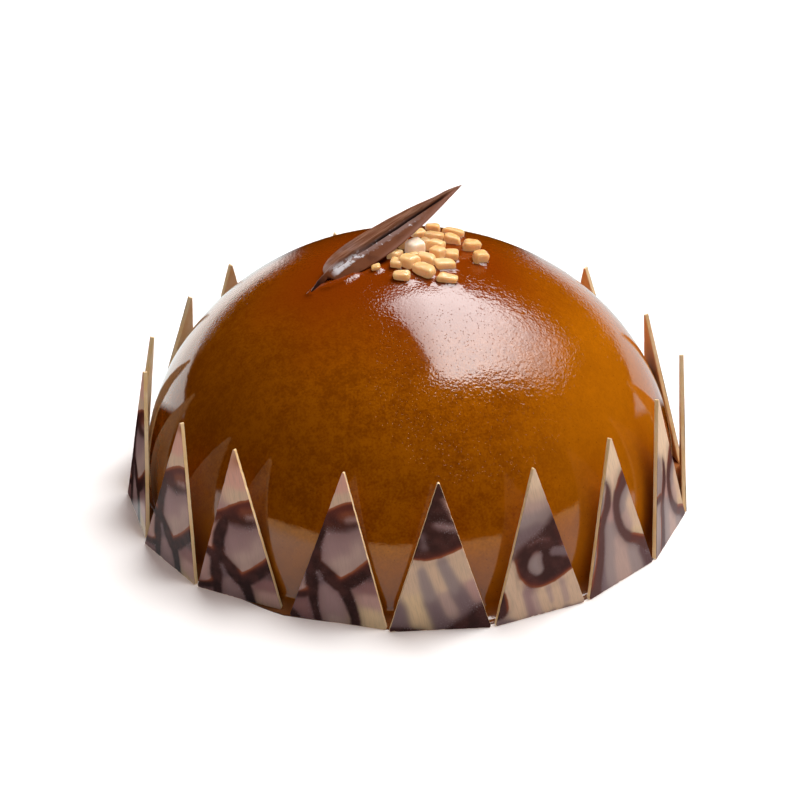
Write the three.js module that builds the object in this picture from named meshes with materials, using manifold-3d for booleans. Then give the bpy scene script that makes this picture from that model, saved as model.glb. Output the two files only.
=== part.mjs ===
// Bombe cake: a mousse dome under a shiny caramel glaze, with a ring of seventeen chocolate
// triangles leaning against its foot, a chocolate leaf stuck in near the top and a small heap
// of caramel nibs beside it. Millimetres, +Z up, origin under the middle of the dome, and the
// side that faces -Y is the front.

import * as THREE from 'three';
import { mergeVertices } from 'three/addons/utils/BufferGeometryUtils.js';
import Module from 'manifold-3d';

// Driving dimensions -----------------------------------------------------------------------

const CLEARANCE = 0.3; // gap kept between a piece and what it is set into

// The dome: an upright skirt from the mould's rim, then half an ellipsoid.
const DOME_RADIUS = 85;
const SKIRT_HEIGHT = 9;
const DOME_RISE = 74;
const DOME_STEPS = 30;
const DOME_SIDES = 64;

// The foot: glaze that ran down and set as a bead on the board.
const FOOT_RADIUS = 88.9;
const FOOT_HEIGHT = 5;
const FOOT_STEPS = 4;

// The triangles, cut from a printed sheet of chocolate.
const PLATE_HEIGHT = 49.8;
const PLATE_THICKNESS = 1.5;
const PLATE_TIP_RADIUS = 0.45;
const PLATE_TIP_STEPS = 5;
const PLATE_DISTANCE = 90; // from the cake's axis to the outer face, at the foot

// The leaf: a cast chocolate leaf, its stem pushed into the glaze.
const LEAF_STEM_END = new THREE.Vector3(-30.6, -13.9, 76.4);
const LEAF_BASE = new THREE.Vector3(-26.2, -8.7, 80.3);
const LEAF_MIDDLE = new THREE.Vector3(-4.9, 4.3, 90.2);
const LEAF_TIP = new THREE.Vector3(16.5, 18, 99.4);
const LEAF_HALF_WIDTH = 6.2;
const LEAF_WIDEST_AT = 0.28; // share of the blade's length, from its base
const LEAF_BASE_FULLNESS = 0.4; // power of the rise from base to widest place
const LEAF_NEAR_FALL = 25; // degrees that the front wing falls from the rib
const LEAF_FAR_FALL = -12; // the rear wing rises, as the leaf is rolled to the front
const LEAF_THICKNESS = 1.3;
const LEAF_EDGE_SHARE = 0.6; // thickness at the edge, and at the tip, as a share
const LEAF_THINNING = 4; // power of the share of the length: the leaf thins near its tip
const LEAF_TIP_HALF_WIDTH = 0.15;
const STEM_HALF_WIDTH = 0.7;
const STEM_SHARE = 0.13; // share of the whole length that is stem
const STEM_RUN_OUT = 1 / 3; // the stem's width runs out over this last share of the blade
const RIB_HEIGHT = 0.9;
const RIB_HALF_WIDTH = 0.9;
const RIB_RUN_OUT = 0.25; // the rib runs out over this last share of the length
const LEAF_STEPS = 26;
const LEAF_CROSS_STEPS = 12;

// The nibs: where each lies on the dome (x, y), its turn and its length, width and height.
// The last number lifts those that lie on others.
const NIB_SINK = 0.18; // share of its height that a nib sinks into the glaze
const NIB_SQUARENESS = 0.62; // 1 is an ellipsoid, smaller is closer to a box
const NIB_SIDES = 10;
const NIB_RINGS = 6;
const NIBS = [
  { x: -2.5, y: -13.6, turn: -8, size: [5.6, 3, 2.7], lift: 0 },
  { x: 4.3, y: -10.6, turn: -30, size: [7.6, 3.8, 3], lift: 0.2 },
  { x: 11.7, y: -13.8, turn: -6, size: [6.8, 3, 2.4], lift: 0 },
  { x: 10.9, y: -6.2, turn: 18, size: [6.8, 3.4, 2.7], lift: 0 },
  { x: -4, y: -6.6, turn: 75, size: [4, 3.4, 2.8], lift: 0 },
  { x: 0, y: -6.6, turn: -30, size: [5.6, 4.4, 3.6], lift: 0.2 },
  { x: 5.3, y: -3.6, turn: -28, size: [6.4, 3.2, 2.7], lift: 0.3 },
  { x: 13.1, y: 0.5, turn: 4, size: [4.7, 3.6, 2.8], lift: 0 },
  { x: 8.7, y: -0.1, turn: -35, size: [5, 3.6, 3.2], lift: 0.4 },
  { x: 8, y: 4.3, turn: -20, size: [6, 3.2, 3.6], lift: 0.5 },
  { x: 1.5, y: 2, turn: 35, size: [5.4, 5, 4], lift: 0.5 },
  { x: -4.4, y: -0.9, turn: 55, size: [4.6, 3.4, 2.8], lift: 0 },
  { x: 7.5, y: 13.3, turn: -5, size: [6.6, 3.6, 3], lift: 0.2 },
  { x: 13.5, y: 13, turn: -15, size: [5.6, 3.6, 3], lift: 0 },
  { x: 7.4, y: 25, turn: -10, size: [5, 3.2, 2.6], lift: 0 },
  { x: 13.8, y: 21.6, turn: -22, size: [7.2, 3.2, 2.6], lift: 0 },
  { x: 19.5, y: 9.9, turn: 22, size: [6.2, 3.8, 3.1], lift: 0 },
  { x: 22, y: 1.9, turn: -70, size: [5, 4.4, 3.4], lift: 0.1 },
  { x: -10.5, y: -7.5, turn: 15, size: [3.2, 2.2, 1.8], lift: 0 },
  { x: 2.8, y: 15.9, turn: 30, size: [4.2, 3.4, 2.8], lift: 0 },
  { x: -1.7, y: 5.7, turn: -20, size: [4.2, 3.2, 2.8], lift: 0 },
  { x: 1.2, y: -1.4, turn: 10, size: [2.8, 2.2, 2.2], lift: 0.2 },
  { x: 4.7, y: 8.7, turn: 50, size: [3.6, 3, 2.6], lift: 0 },
];

// Where each triangle stands round the foot, in degrees from the front towards +X, and how it
// differs from the others: its lean towards the dome and its turn in its place, in degrees, the
// shift of its tip along the ring, how far it stands out of the ring, and its width.
const PLATES = [
  { at: -163.6, lean: 2, turn: 0, tip: 0, out: 0.4, width: 30.9 },
  { at: -137.2, lean: 5, turn: 0, tip: 2, out: 0, width: 30.9 },
  { at: -116.9, lean: 9, turn: 0, tip: -1.5, out: -0.4, width: 30.8 },
  { at: -97.1, lean: 7, turn: 0, tip: 0.8, out: 0, width: 30.6 },
  { at: -77.2, lean: 4.8, turn: 1, tip: -4.2, out: -0.2, width: 30.6 },
  { at: -56.2, lean: 5.4, turn: -0.6, tip: 0.8, out: 1.1, width: 31 },
  { at: -36.5, lean: 5, turn: 8, tip: -3.6, out: -0.8, width: 30.4 },
  { at: -14.4, lean: 7.4, turn: -1.5, tip: 0, out: -0.8, width: 31.4 },
  { at: 5.9, lean: 3.6, turn: -0.8, tip: -0.4, out: 0.9, width: 31.7 },
  { at: 26.5, lean: 4.6, turn: 1.2, tip: -0.8, out: 0.7, width: 31.7 },
  { at: 47.5, lean: 5.3, turn: 1.4, tip: -1.3, out: 0, width: 31.7 },
  { at: 68.3, lean: 5.5, turn: 1.6, tip: -2.1, out: -0.4, width: 31.4 },
  { at: 88.6, lean: 2.3, turn: 0, tip: -1.2, out: -0.5, width: 30.9 },
  { at: 109, lean: 9, turn: 0, tip: -0.6, out: -0.4, width: 30.9 },
  { at: 135.4, lean: 7, turn: 0, tip: 0, out: 0, width: 30.9 },
  { at: 155.8, lean: 9, turn: 0, tip: 0.8, out: 0, width: 30.9 },
  { at: 176.1, lean: 9, turn: 0, tip: -0.6, out: 0, width: 30.9 },
];

// Materials --------------------------------------------------------------------------------

function glaze() {
  return new THREE.MeshStandardMaterial({ color: '#8a4209', roughness: 0.15, metalness: 0 });
}

function marbledChocolate() {
  return new THREE.MeshStandardMaterial({ color: '#b79a86', roughness: 0.35, metalness: 0 });
}

function milkChocolate() {
  return new THREE.MeshStandardMaterial({ color: '#7a4a34', roughness: 0.4, metalness: 0 });
}

// Booleans ---------------------------------------------------------------------------------

const SAME_PLACE = 0.0001; // vertices closer than this are one

const wasm = await Module();
wasm.setup();

// Turn a closed geometry into a solid: vertices in one place are shared, and the triangles
// that a pole folds to nothing are dropped.
function toSolid(geometry) {
  const bare = geometry.clone();
  bare.deleteAttribute('normal');
  bare.deleteAttribute('uv');
  const merged = mergeVertices(bare, SAME_PLACE);
  const index = merged.index.array;
  const triangles = [];
  for (let i = 0; i < index.length; i += 3) {
    const [a, b, c] = [index[i], index[i + 1], index[i + 2]];
    if (a !== b && b !== c && c !== a) {
      triangles.push(a, b, c);
    }
  }
  return new wasm.Manifold(new wasm.Mesh({
    numProp: 3,
    vertProperties: new Float32Array(merged.attributes.position.array),
    triVerts: new Uint32Array(triangles),
  }));
}

// Turn a solid back into a geometry, without any loose scrap that a cut left.
function toGeometry(solid) {
  const bodies = solid.decompose();
  bodies.sort((a, b) => b.volume() - a.volume());
  const mesh = bodies[0].getMesh();
  const geometry = new THREE.BufferGeometry();
  geometry.setAttribute('position', new THREE.BufferAttribute(mesh.vertProperties, 3));
  geometry.setIndex(new THREE.BufferAttribute(mesh.triVerts, 1));
  geometry.computeVertexNormals();
  return geometry;
}

// The dome ---------------------------------------------------------------------------------

// Height of the dome's surface at a distance from its axis.
function domeHeight(radius) {
  return SKIRT_HEIGHT + DOME_RISE * Math.sqrt(1 - (radius / DOME_RADIUS) ** 2);
}

// The dome's outward direction at a place on it.
function domeNormal(x, y) {
  const rise = (domeHeight(Math.hypot(x, y)) - SKIRT_HEIGHT) / DOME_RISE ** 2;
  return new THREE.Vector3(x / DOME_RADIUS ** 2, y / DOME_RADIUS ** 2, rise).normalize();
}

// Dome and foot in one turn: up from the middle of the base, round the bead of the foot, up
// the skirt and over the cap.
function domeGeometry() {
  const profile = [new THREE.Vector2(0, 0), new THREE.Vector2(FOOT_RADIUS, 0)];
  for (let i = 1; i <= FOOT_STEPS; i++) {
    const angle = (i / FOOT_STEPS) * Math.PI / 2;
    const radius = FOOT_RADIUS - (FOOT_RADIUS - DOME_RADIUS) * Math.sin(angle);
    const height = FOOT_HEIGHT * (1 - Math.cos(angle));
    profile.push(new THREE.Vector2(radius, height));
  }
  for (let i = 0; i <= DOME_STEPS; i++) {
    const angle = (i / DOME_STEPS) * Math.PI / 2;
    const radius = i < DOME_STEPS ? DOME_RADIUS * Math.cos(angle) : 0;
    profile.push(new THREE.Vector2(radius, SKIRT_HEIGHT + DOME_RISE * Math.sin(angle)));
  }
  return new THREE.LatheGeometry(profile, DOME_SIDES).rotateX(Math.PI / 2);
}

// The nibs ---------------------------------------------------------------------------------

// A short rounded block: a sphere pressed towards a box, then scaled to the nib's size.
function nibGeometry([length, width, height]) {
  const geometry = new THREE.SphereGeometry(1, NIB_SIDES, NIB_RINGS);
  const position = geometry.attributes.position;
  const press = (value) => Math.sign(value) * Math.abs(value) ** NIB_SQUARENESS;
  for (let i = 0; i < position.count; i++) {
    const x = press(position.getX(i)) * length / 2;
    const y = press(position.getZ(i)) * width / 2;
    const z = press(position.getY(i)) * height / 2;
    position.setXYZ(i, x, -y, z);
  }
  return geometry;
}

// The nib where it lies: turned, laid on the slope of the dome and sunk a little.
function placedNib({ x, y, turn, size, lift }) {
  const normal = domeNormal(x, y);
  const rest = size[2] * (0.5 - NIB_SINK) + lift;
  const place = new THREE.Vector3(x, y, domeHeight(Math.hypot(x, y)));
  const slope = new THREE.Quaternion().setFromUnitVectors(new THREE.Vector3(0, 0, 1), normal);
  const geometry = nibGeometry(size).rotateZ(THREE.MathUtils.degToRad(turn));
  geometry.applyQuaternion(slope);
  return geometry.translate(...place.addScaledVector(normal, rest));
}

// The leaf ---------------------------------------------------------------------------------

// Half the leaf's width at a share of its whole length: the stem, then a blade that widens
// fast and runs to a long point.
function leafHalfWidth(share) {
  const blade = Math.max((share - STEM_SHARE) / (1 - STEM_SHARE), 0);
  const rise = (blade / LEAF_WIDEST_AT) ** LEAF_BASE_FULLNESS;
  const power = LEAF_BASE_FULLNESS * (1 - LEAF_WIDEST_AT) / LEAF_WIDEST_AT;
  const fall = ((1 - blade) / (1 - LEAF_WIDEST_AT)) ** power;
  const stem = STEM_HALF_WIDTH * Math.min(1, (1 - blade) / STEM_RUN_OUT);
  return Math.max(LEAF_HALF_WIDTH * rise * fall, stem, LEAF_TIP_HALF_WIDTH);
}

// One face of the leaf: a flat grid laid along the rib's curve. Both wings fall from the rib,
// the front one more, and the rib stands up between them. The level is 1 for the upper face
// and -1 for the lower, and grow pushes the whole surface outwards.
function leafFace(level, grow) {
  const rib = new THREE.CatmullRomCurve3([LEAF_STEM_END, LEAF_BASE, LEAF_MIDDLE, LEAF_TIP]);
  const face = new THREE.PlaneGeometry(1, 2, LEAF_STEPS, LEAF_CROSS_STEPS);
  const position = face.attributes.position;
  const up = new THREE.Vector3(0, 0, 1);
  for (let i = 0; i < position.count; i++) {
    const share = position.getX(i) + 0.5;
    const across = position.getY(i);
    const along = rib.getTangentAt(share);
    const far = new THREE.Vector3().crossVectors(up, along).normalize();
    const top = new THREE.Vector3().crossVectors(along, far);
    const fallAngle = THREE.MathUtils.degToRad(across < 0 ? LEAF_NEAR_FALL : LEAF_FAR_FALL);
    const reach = across * (leafHalfWidth(share) + grow);
    const fall = Math.abs(reach) * Math.sin(fallAngle);
    const ribHeight = RIB_HEIGHT * Math.min(1, (1 - share) / RIB_RUN_OUT);
    const ridge = ribHeight * Math.exp(-((reach / RIB_HALF_WIDTH) ** 2));
    const thin = 1 - (1 - LEAF_EDGE_SHARE) * Math.max(Math.abs(across), share ** LEAF_THINNING);
    const half = LEAF_THICKNESS * thin / 2 + grow;
    const place = rib.getPointAt(share);
    place.addScaledVector(far, reach * Math.cos(fallAngle));
    place.addScaledVector(top, ridge - fall + level * half);
    place.addScaledVector(along, (share - 0.5) * 2 * grow);
    position.setXYZ(i, place.x, place.y, place.z);
  }
  return face;
}

// The vertices round the border of a grid, in order.
function gridBorder(columns, rows) {
  const border = [];
  for (let i = 0; i < columns; i++) {
    border.push(i);
  }
  for (let j = 0; j < rows; j++) {
    border.push(j * (columns + 1) + columns);
  }
  for (let i = columns; i > 0; i--) {
    border.push(rows * (columns + 1) + i);
  }
  for (let j = rows; j > 0; j--) {
    border.push(j * (columns + 1));
  }
  return border;
}

// The leaf as a thin solid: an upper and a lower face split alike, joined round the edge.
function leafGeometry(grow) {
  const upper = leafFace(1, grow);
  const lower = leafFace(-1, grow);
  const count = upper.attributes.position.count;
  const index = [...upper.index.array];
  for (let i = 0; i < lower.index.count; i += 3) {
    const [a, b, c] = lower.index.array.slice(i, i + 3);
    index.push(a + count, c + count, b + count);
  }
  const border = gridBorder(LEAF_STEPS, LEAF_CROSS_STEPS);
  border.forEach((here, i) => {
    const next = border[(i + 1) % border.length];
    index.push(here, next, here + count, next, next + count, here + count);
  });
  const places = [...upper.attributes.position.array, ...lower.attributes.position.array];
  const geometry = new THREE.BufferGeometry();
  geometry.setAttribute('position', new THREE.Float32BufferAttribute(places, 3));
  geometry.setIndex(index);
  geometry.computeVertexNormals();
  return geometry;
}

function leafMesh() {
  const mesh = new THREE.Mesh(leafGeometry(0), milkChocolate());
  mesh.name = 'leaf';
  return mesh;
}

// The triangles ----------------------------------------------------------------------------

// A triangle standing on its short side, with a rounded tip, its outer face at z = 0.
function plateGeometry({ tip, width }, grow) {
  const half = width / 2 + grow;
  const rightTurn = Math.atan2(PLATE_HEIGHT, half - tip);
  const leftTurn = Math.atan2(PLATE_HEIGHT, half + tip);
  const arcHeight = PLATE_HEIGHT + grow - PLATE_TIP_RADIUS;
  const outline = new THREE.Shape();
  outline.moveTo(-half, -grow);
  outline.lineTo(half, -grow);
  const start = Math.PI / 2 - rightTurn;
  const end = Math.PI / 2 + leftTurn;
  outline.absarc(tip, arcHeight, PLATE_TIP_RADIUS, start, end, false);
  outline.closePath();
  const depth = PLATE_THICKNESS + 2 * grow;
  const extrusion = { depth, bevelEnabled: false, curveSegments: PLATE_TIP_STEPS };
  return new THREE.ExtrudeGeometry(outline, extrusion).translate(0, 0, grow - depth);
}

// Stand a triangle up in its place. It leans on its inner lower edge, so its outer face is
// lifted a little.
function placePlate(mesh, { at, lean, turn, out }) {
  const tilt = THREE.MathUtils.degToRad(lean);
  mesh.rotation.x = Math.PI / 2 - tilt;
  mesh.position.z = PLATE_THICKNESS * Math.sin(tilt);
  const stand = new THREE.Group();
  stand.position.y = -(PLATE_DISTANCE + out);
  stand.rotation.z = THREE.MathUtils.degToRad(turn);
  stand.add(mesh);
  const ring = new THREE.Group();
  ring.rotation.z = THREE.MathUtils.degToRad(at);
  ring.add(stand);
  ring.updateMatrixWorld(true);
  return ring;
}

function plateMesh(plate, number) {
  const mesh = new THREE.Mesh(plateGeometry(plate, 0), marbledChocolate());
  mesh.name = `plate_${String(number).padStart(2, '0')}`;
  return placePlate(mesh, plate);
}

// The room that a triangle needs in the foot of the glaze.
function plateSocket(plate) {
  const mesh = new THREE.Mesh(plateGeometry(plate, CLEARANCE));
  placePlate(mesh, plate);
  return toSolid(mesh.geometry).transform(mesh.matrixWorld.elements);
}

// The cake ---------------------------------------------------------------------------------

// The dome with the nibs stuck to it, cut free of the leaf and of the triangles.
function cakeMesh() {
  let body = toSolid(domeGeometry());
  for (const nib of NIBS) {
    body = body.add(toSolid(placedNib(nib)));
  }
  body = body.subtract(toSolid(leafGeometry(CLEARANCE)));
  for (const plate of PLATES) {
    body = body.subtract(plateSocket(plate));
  }
  const mesh = new THREE.Mesh(toGeometry(body), glaze());
  mesh.name = 'cake';
  return mesh;
}

const cake = new THREE.Group();
cake.add(cakeMesh(), leafMesh());
PLATES.forEach((plate, i) => cake.add(plateMesh(plate, i + 1)));

export default cake;
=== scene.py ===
import bpy
import numpy as np
from mathutils import Matrix


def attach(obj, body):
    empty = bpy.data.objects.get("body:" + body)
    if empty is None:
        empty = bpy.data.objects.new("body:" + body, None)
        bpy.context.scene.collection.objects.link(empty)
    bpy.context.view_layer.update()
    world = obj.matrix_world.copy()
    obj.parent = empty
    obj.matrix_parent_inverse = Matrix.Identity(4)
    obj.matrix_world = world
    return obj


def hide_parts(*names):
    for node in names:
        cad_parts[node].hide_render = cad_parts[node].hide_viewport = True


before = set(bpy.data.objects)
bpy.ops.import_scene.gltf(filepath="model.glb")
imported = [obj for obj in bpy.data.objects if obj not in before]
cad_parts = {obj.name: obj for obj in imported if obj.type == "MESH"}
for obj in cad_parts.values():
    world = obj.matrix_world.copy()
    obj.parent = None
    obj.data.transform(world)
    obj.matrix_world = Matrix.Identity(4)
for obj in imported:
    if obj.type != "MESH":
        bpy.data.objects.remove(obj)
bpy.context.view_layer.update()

# The studio. The cake is photographed from a little above on a white table, with one big soft
# light high up behind it on the right and none in front, so that the glaze mirrors the table
# and the light and stays dark in between.

CAMERA_RISE = np.radians(28.35)  # above the horizon
CAMERA_DISTANCE = 1.44
CAMERA_AIM = np.array([-0.00303, 0.0, 0.03155])
LENS = 201.6  # for a sensor 36 mm wide
TABLE_REACH = 3.0
TABLE_WHITE = (0.88, 0.87, 0.86, 1.0)
TABLE_LIFT = (0.19, 0.14, 0.125, 1.0)  # brightens its shadows, as the photograph's backdrop does
# What the glaze mirrors of it in front, on the right and on the left, in metres from where to
# where that changes, and between which bearings it is dark instead, in degrees from straight
# behind the cake, and how softly that begins and ends, in radians.
MIRRORED_FRONT, MIRRORED_RIGHT = (2.5, 1.5, 0.70, 1.0), (0.80, 0.95, 1.0, 1.0)
MIRRORED_LEFT = (1.9, 1.85, 1.75, 1.0)
RIGHT_TO_LEFT, BACK_TO_FRONT = (-0.05, -0.15), (-0.08, -0.30)
MIRRORED_DARK = ((-20.0, 14.0), (56.5, 97.0))
DARK_SOFTNESS = 0.03
LIGHT_TOWARDS = np.array([0.377, 0.363, 0.853])  # from the cake
LIGHT_EDGE = np.array([0.805, 0.124, -0.408])  # along the light's longer side
LIGHT_DISTANCE = 2.0
LIGHT_SIZE = (1.92, 2.04)
LIGHT_RADIANCE = 11.5
# The light's cloth is a unit square. It is brightest left of its middle, fades between two places
# across it to a share on either side, and hangs askew: its edges run where
# a · across + b · up = c.
LIGHT_FADES = ((0.40, 1.0, 0.20), (0.28, -0.02, 0.35))
LIGHT_EDGES = ((1.0, 0.148, 0.125), (-0.325, 1.0, -0.075), (-0.36, -1.0, -1.01), (0.0, -1.0, -0.87))
LIGHT_EDGE_SOFTNESS = 0.015
AMBIENT = 0.11
TABLE_BOUNCE = (0.10, 0.10, 0.10, 1.0)  # what else the table gives to matt surfaces

scene = bpy.context.scene
scene.view_settings.view_transform = "Standard"

towards_camera = np.array([0.0, -np.cos(CAMERA_RISE), np.sin(CAMERA_RISE)])
camera_data = bpy.data.cameras.new("camera")
camera_data.sensor_width = 36.0
camera_data.lens = LENS
camera_data.clip_start = 0.05
camera_data.clip_end = 50.0
camera = bpy.data.objects.new("camera", camera_data)
camera.location = CAMERA_AIM + CAMERA_DISTANCE * towards_camera
camera.rotation_euler = (np.pi / 2 - CAMERA_RISE, 0.0, 0.0)
scene.collection.objects.link(camera)
scene.camera = camera


class Value:
    """A shader socket in Python arithmetic: each operator adds the Math node of its name."""

    def __init__(self, nodes, socket):
        self.nodes = nodes
        self.socket = socket

    def math(self, operation, *others):
        return self.nodes.add("ShaderNodeMath", [self, *others], operation=operation)

    def __add__(self, other):
        return self.math("ADD", other)

    def __mul__(self, other):
        return self.math("MULTIPLY", other)

    def __sub__(self, other):
        return self.math("SUBTRACT", other)

    def __rsub__(self, other):
        return self.nodes.add("ShaderNodeMath", [other, self], operation="SUBTRACT")

    __radd__ = __add__
    __rmul__ = __mul__


class Nodes:
    """The node tree of a material or of the surroundings."""

    def __init__(self, owner):
        owner.use_nodes = True
        self.tree = owner.node_tree
        self.tree.nodes.clear()

    def add(self, kind, sockets=(), output=0, **settings):
        """Adds a node, sets its settings and then the value or link of each socket, and gives
        back one of its outputs."""
        node = self.tree.nodes.new(kind)
        for name, value in settings.items():
            setattr(node, name, value)
        pairs = sockets.items() if isinstance(sockets, dict) else enumerate(sockets)
        for key, value in pairs:
            if isinstance(value, Value):
                self.tree.links.new(value.socket, node.inputs[key])
            else:
                node.inputs[key].default_value = value
        return Value(self, node.outputs[output]) if len(node.outputs) else None

    def passing(self, value, start, end):
        """0 up to the start, 1 from the end on and straight between; the end may be the lower."""
        return self.add("ShaderNodeMapRange", {"Value": value, "From Min": start, "From Max": end})

    def mix(self, share, first, second):
        """A colour between two others."""
        return self.add("ShaderNodeMix", {0: share, 6: first, 7: second}, 2, data_type="RGBA")

    def axis(self, vector, which):
        """One coordinate of a vector: 0 is x, 1 is y and 2 is z."""
        return self.add("ShaderNodeSeparateXYZ", [vector], which)


surroundings = bpy.data.worlds.new("surroundings")
surroundings.cycles.sampling_method = "NONE"
scene.world = surroundings
nodes = Nodes(surroundings)
seen = nodes.add("ShaderNodeLightPath", output="Is Camera Ray")
mirrored = nodes.add("ShaderNodeLightPath", output="Is Glossy Ray")
brightness = seen + (1 - seen) * (1 - mirrored) * AMBIENT
background = nodes.add("ShaderNodeBackground", {"Color": (1, 1, 1, 1), "Strength": brightness})
nodes.add("ShaderNodeOutputWorld", {"Surface": background})

table = bpy.data.meshes.new("table")
square = ((-1, -1), (1, -1), (1, 1), (-1, 1))
table.from_pydata([(x * TABLE_REACH, y * TABLE_REACH, 0.0) for x, y in square], [], [(0, 1, 2, 3)])
floor = bpy.data.objects.new("floor", table)
scene.collection.objects.link(floor)
white_table = bpy.data.materials.new("white_table")
nodes = Nodes(white_table)
table_place = nodes.add("ShaderNodeTexCoord", output="Object")
aside, back = nodes.axis(table_place, 0), nodes.axis(table_place, 1)
left = nodes.passing(aside, *RIGHT_TO_LEFT)
front = nodes.passing(back, *BACK_TO_FRONT)
colour = nodes.mix(front, nodes.mix(left, MIRRORED_RIGHT, MIRRORED_LEFT), MIRRORED_FRONT)
bearing = aside.math("ABSOLUTE").math("ARCTAN2", back)
lit = 1.0
for low, high in np.radians(MIRRORED_DARK):
    after = nodes.passing(bearing, low - DARK_SOFTNESS, low + DARK_SOFTNESS)
    before = nodes.passing(bearing, high + DARK_SOFTNESS, high - DARK_SOFTNESS)
    lit = (1 - after * before) * lit
seen = nodes.add("ShaderNodeLightPath", output="Is Camera Ray")
mirrored = nodes.add("ShaderNodeLightPath", output="Is Glossy Ray")
white = nodes.add("ShaderNodeBsdfDiffuse", {"Color": TABLE_WHITE})
image = nodes.add("ShaderNodeEmission", {"Color": colour, "Strength": lit})
surface = nodes.add("ShaderNodeMixShader", [mirrored, white, image])
lift = nodes.mix(seen, TABLE_BOUNCE, TABLE_LIFT)
lift = nodes.add("ShaderNodeEmission", {"Color": lift, "Strength": 1 - mirrored})
surface = nodes.add("ShaderNodeAddShader", [surface, lift])
nodes.add("ShaderNodeOutputMaterial", {"Surface": surface})
table.materials.append(white_table)

light_back = LIGHT_TOWARDS / np.linalg.norm(LIGHT_TOWARDS)
light_side = LIGHT_EDGE - light_back * (LIGHT_EDGE @ light_back)
light_side /= np.linalg.norm(light_side)
soft_light = bpy.data.lights.new("soft_light", "AREA")
soft_light.shape = "RECTANGLE"
soft_light.size, soft_light.size_y = LIGHT_SIZE
soft_light.energy = LIGHT_RADIANCE * np.pi * LIGHT_SIZE[0] * LIGHT_SIZE[1]
nodes = Nodes(soft_light)
cloth = nodes.add("ShaderNodeNewGeometry", output="Parametric")
across, up = nodes.axis(cloth, 0), nodes.axis(cloth, 1)
glow = 1.0
for full, faded, share in LIGHT_FADES:
    sockets = {"Value": across, "From Min": full, "From Max": faded, "To Min": 1.0, "To Max": share}
    glow = nodes.add("ShaderNodeMapRange", sockets, interpolation_type="SMOOTHSTEP") * glow
for a, b, c in LIGHT_EDGES:
    glow = nodes.passing(across * a + up * b, c, c + LIGHT_EDGE_SOFTNESS) * glow
nodes.add("ShaderNodeOutputLight", {"Surface": nodes.add("ShaderNodeEmission", {"Strength": glow})})
lamp = bpy.data.objects.new("soft_light", soft_light)
turned = np.eye(4)
turned[:3, 0] = light_side
turned[:3, 1] = np.cross(light_back, light_side)
turned[:3, 2] = light_back
turned[:3, 3] = light_back * LIGHT_DISTANCE
lamp.matrix_world = Matrix(turned)
lamp.visible_camera = False
scene.collection.objects.link(lamp)

# The glazed dome. Mousse set in a round-bottomed mould, turned out and poured over with a warm
# caramel glaze, which levels to a thin shiny skin, rises a little against whatever is stuck
# into it and runs out as a bead at the foot.

MM = 0.001
DOME_RADIUS = 85.0
SKIRT_HEIGHT = 9.0
DOME_RISE = 74.0
FOOT_RADIUS = 88.9
FOOT_HEIGHT = 5.0
SKIRT_RINGS_AT = [7.7, 6.3]  # heights
UNDER_RINGS = [87.0, 60.0, 25.0, 0.05]  # radii
FINE_RINGS, COARSE_RINGS, BEAD_RINGS, GLAZE_SIDES = 118, 72, 8, 440
NIBS_REACH = 44.0  # the fine rings at the top go this far out
GLAZE_RIPPLES = ((15.0, 0.035), (6.5, 0.022), (2.6, 0.008))  # width and height
RIPPLES_FROM, RIPPLES_RISE = 6.0, 12.0  # they grow over this height
GLAZE_CLIMB = 0.8  # how high the glaze rises against a piece
GLAZE_CLIMB_REACH = 0.9  # and how far from it that fades
GLAZE_CLIMB_LIMIT = 1.3  # times the climb, between pieces
CLIMB_ABOVE = 40.0  # only the dome's top climbs, not its underside
POOL_DISTANCE = 89.3  # the bead runs out to here between the triangles
POOL_WAVER, POOL_WAVER_LENGTH = 0.004, 7.0  # a share of its radius
PLATES_AT = [  # degrees round from the front
    -163.6, -137.2, -116.9, -97.1, -77.2, -56.2, -36.5, -14.4, 5.9,
    26.5, 47.5, 68.3, 88.6, 109.0, 135.4, 155.8, 176.1,
]

# Each nib: its place on the dome, its turn in degrees, its length, width and height, its lift.
NIBS = np.array([
    (-2.5, -13.6, -8, 5.6, 3.0, 2.7, 0.0), (4.3, -10.6, -30, 7.6, 3.8, 3.0, 0.2),
    (11.7, -13.8, -6, 6.8, 3.0, 2.4, 0.0), (10.9, -6.2, 18, 6.8, 3.4, 2.7, 0.0),
    (-4.0, -6.6, 75, 4.0, 3.4, 2.8, 0.0), (0.0, -6.6, -30, 5.6, 4.4, 3.6, 0.2),
    (5.3, -3.6, -28, 6.4, 3.2, 2.7, 0.3), (13.1, 0.5, 4, 4.7, 3.6, 2.8, 0.0),
    (8.7, -0.1, -35, 5.0, 3.6, 3.2, 0.4), (8.0, 4.3, -20, 6.0, 3.2, 3.6, 0.5),
    (1.5, 2.0, 35, 5.4, 5.0, 4.0, 0.5), (-4.4, -0.9, 55, 4.6, 3.4, 2.8, 0.0),
    (7.5, 13.3, -5, 6.6, 3.6, 3.0, 0.2), (13.5, 13.0, -15, 5.6, 3.6, 3.0, 0.0),
    (7.4, 25.0, -10, 5.0, 3.2, 2.6, 0.0), (13.8, 21.6, -22, 7.2, 3.2, 2.6, 0.0),
    (19.5, 9.9, 22, 6.2, 3.8, 3.1, 0.0), (22.0, 1.9, -70, 5.0, 4.4, 3.4, 0.1),
    (-10.5, -7.5, 15, 3.2, 2.2, 1.8, 0.0), (2.8, 15.9, 30, 4.2, 3.4, 2.8, 0.0),
    (-1.7, 5.7, -20, 4.2, 3.2, 2.8, 0.0), (1.2, -1.4, 10, 2.8, 2.2, 2.2, 0.2),
    (4.7, 8.7, 50, 3.6, 3.0, 2.6, 0.0),
])
# A nib's outline in the glaze: how square it is, and its half sizes as a share of the nib's.
NIB_OUTLINE_POWER, NIB_OUTLINE_SHARE = 3.2, 0.46
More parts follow.
